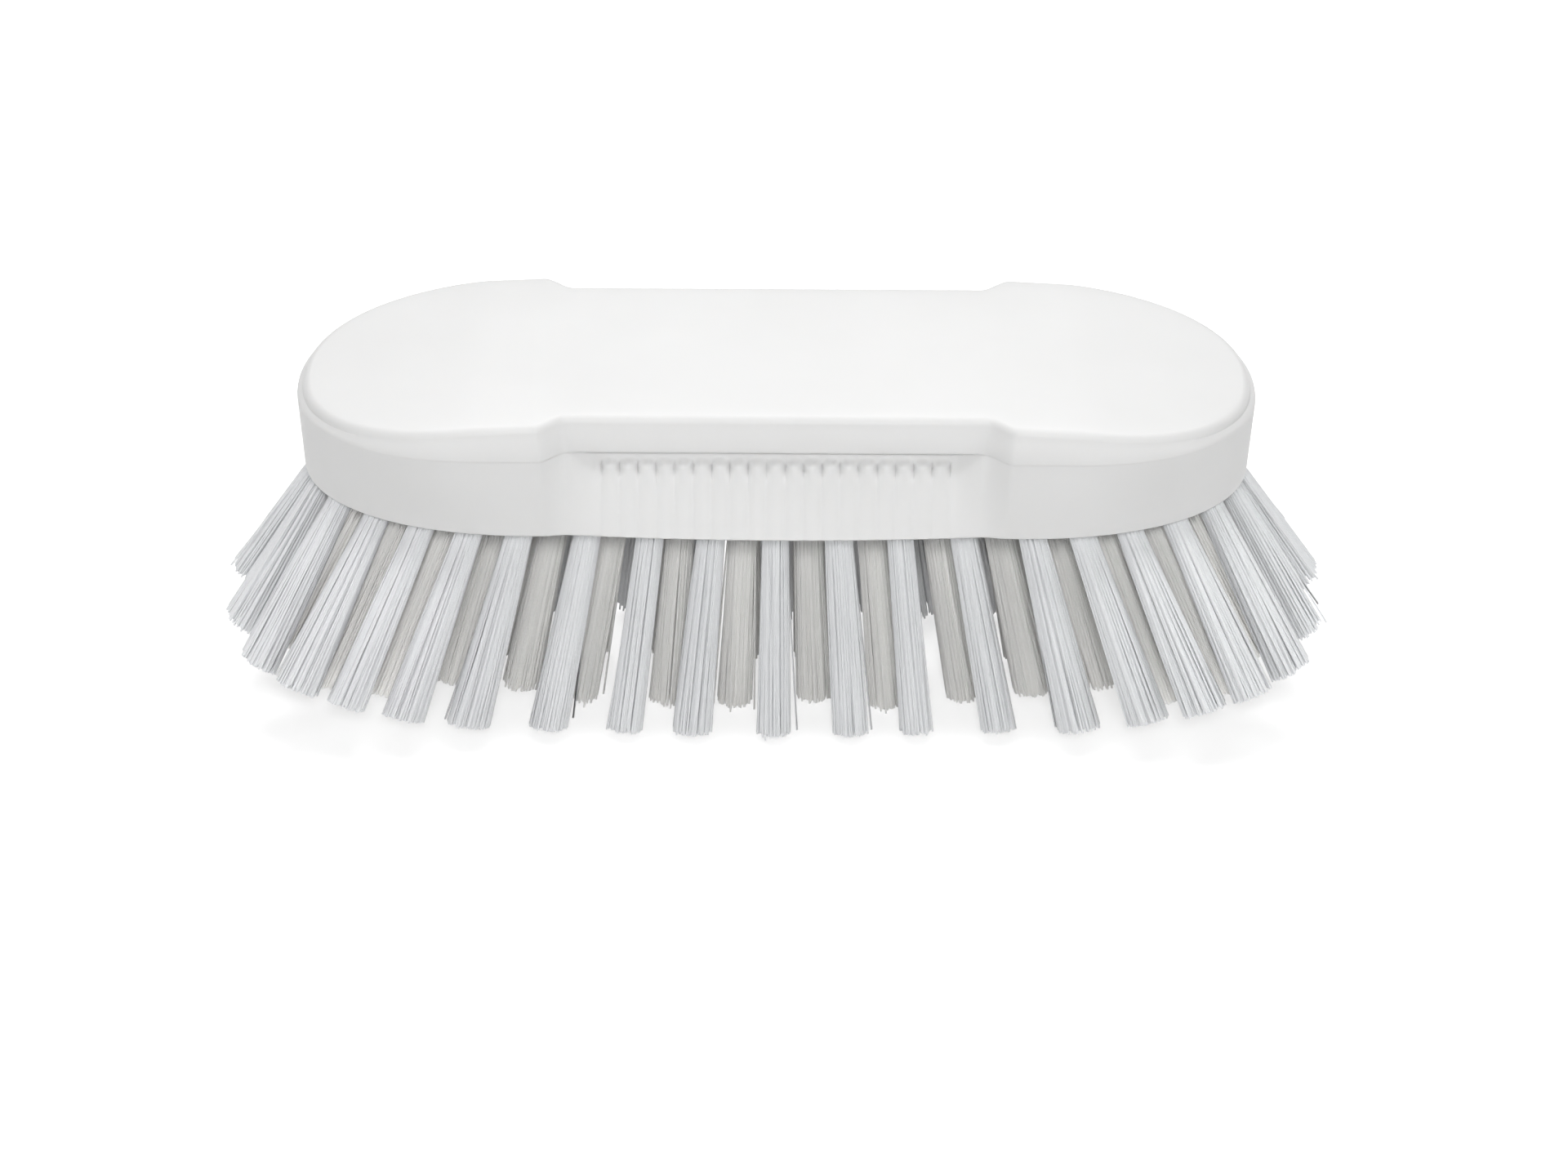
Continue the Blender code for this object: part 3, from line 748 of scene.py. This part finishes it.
def make_floor():
    """A pale floor that the camera sees as white, save for the brush's shadow."""
    bm = bmesh.new()
    bmesh.ops.create_grid(bm, x_segments=1, y_segments=1, size=FLOOR_HALF_SIZE)
    floor = mesh_object("floor", bm)
    material, tree, shader = new_material("pale_floor")
    shader.inputs["Roughness"].default_value = 0.9
    shader.inputs["Specular IOR Level"].default_value = 0.0
    tree.links.new(ramp(tree, noise(tree, scale=3.0), *FLOOR_TONES), shader.inputs["Base Color"])
    paths = tree.nodes.new("ShaderNodeLightPath")
    seen = tree.nodes.new("ShaderNodeMath")
    seen.operation = "ADD"
    seen.use_clamp = True
    tree.links.new(paths.outputs["Is Camera Ray"], seen.inputs[0])
    tree.links.new(paths.outputs["Is Glossy Ray"], seen.inputs[1])
    glow = tree.nodes.new("ShaderNodeMath")
    glow.operation = "MULTIPLY"
    glow.inputs[1].default_value = FLOOR_GLOW
    tree.links.new(seen.outputs[0], glow.inputs[0])
    shader.inputs["Emission Color"].default_value = WHITE
    tree.links.new(glow.outputs[0], shader.inputs["Emission Strength"])
    floor.data.materials.append(material)


def make_world():
    world = bpy.data.worlds.new("white_tent")
    bpy.context.scene.world = world
    world.use_nodes = True
    background = world.node_tree.nodes["Background"]
    background.inputs["Color"].default_value = WHITE
    background.inputs["Strength"].default_value = WORLD_STRENGTH


def area_light(name, place, size, power, target=LAMP_TARGET):
    light = bpy.data.lights.new(name, "AREA")
    light.shape = "RECTANGLE"
    light.size, light.size_y = size
    light.energy = power
    lamp = bpy.data.objects.new(name, light)
    lamp.location = place
    lamp.rotation_euler = (Vector(target) - Vector(place)).to_track_quat("-Z", "Y").to_euler()
    bpy.context.scene.collection.objects.link(lamp)


def make_lights():
    """Lamps, in metres and watts; the small front one shines in between the tufts, close to the view."""
    area_light("top_softbox", place=(0.0, -0.22, 1.15), size=(0.7, 0.30), power=4.65)
    area_light("front_softbox", place=(0.02, -1.24, 0.88), size=(0.20, 0.20), power=8.6,
               target=(0.0, 0.0, 0.03))
    area_light("back_softbox", place=(0.0, 0.80, 1.00), size=(1.0, 0.6), power=10.2)
    area_light("right_softbox", place=(1.1, -0.55, 0.45), size=(0.6, 0.6), power=3.6)
    area_light("left_softbox", place=(-1.1, -0.55, 0.45), size=(0.6, 0.6), power=3.1)


def make_camera():
    """The photograph's camera, turned so that the middle of the block's underside falls on its pixel."""
    focal_pixels = PIXELS_PER_METRE * CAMERA_DISTANCE
    forward = Vector((math.sin(CAMERA_YAW) * math.cos(CAMERA_ELEVATION),
                      math.cos(CAMERA_YAW) * math.cos(CAMERA_ELEVATION),
                      -math.sin(CAMERA_ELEVATION)))
    target = Vector((0.0, 0.0, BLOCK_BASE))
    level = forward.to_track_quat("-Z", "Y")
    rolled = level.to_matrix() @ Matrix.Rotation(CAMERA_ROLL, 3, "Z")
    seen = Vector((TARGET_PIXEL[0] - IMAGE_WIDTH / 2, IMAGE_HEIGHT / 2 - TARGET_PIXEL[1], -focal_pixels))
    aim = seen.rotation_difference(Vector((0.0, 0.0, -1.0))).to_matrix()
    data = bpy.data.cameras.new("camera")
    data.sensor_width = SENSOR_WIDTH
    data.lens = focal_pixels * SENSOR_WIDTH / IMAGE_WIDTH
    camera = bpy.data.objects.new("camera", data)
    camera.matrix_world = Matrix.Translation(target - forward * CAMERA_DISTANCE) @ (rolled @ aim).to_4x4()
    bpy.context.scene.collection.objects.link(camera)
    bpy.context.scene.camera = camera


def make_all_tufts(ring, rows):
    """Outer tufts one to a piece and inner tufts one row to a piece, as in the frame."""
    draws = np.random.default_rng(SEED)
    # Lit and shaded copies of one filament: the outer copy is painted dimmer, the inner copy painted lighter
    # against the shade that falls between the tufts
    outer = filament_plastic("outer_filament_painted_dimmer", OUTER_FILAMENT_DIMMED_TONES)
    inner = filament_plastic("inner_filament_painted_against_shade", INNER_FILAMENT_SHADE_LIFTED_TONES)
    for index, root in enumerate(ring):
        number = f"{index + 1:02d}"
        make_tufts(f"outer_bristles_{number}", f"outer_tuft_{number}", [root], TIP_RADIUS, draws, outer)
    for index, row in enumerate(rows):
        number = f"{index + 1:02d}"
        name, node = f"inner_bristles_{number}", f"inner_tuft_row_{number}"
        make_tufts(name, node, row, INNER_TIP_RADIUS, draws, inner)


def build():
    ring, rows = outer_roots(), inner_rows()
    make_block(ring + [root for row in rows for root in row], moulded_plastic())
    make_all_tufts(ring, rows)
    make_floor()
    make_world()
    make_lights()
    make_camera()
    bpy.context.scene.view_settings.view_transform = "Standard"


build()
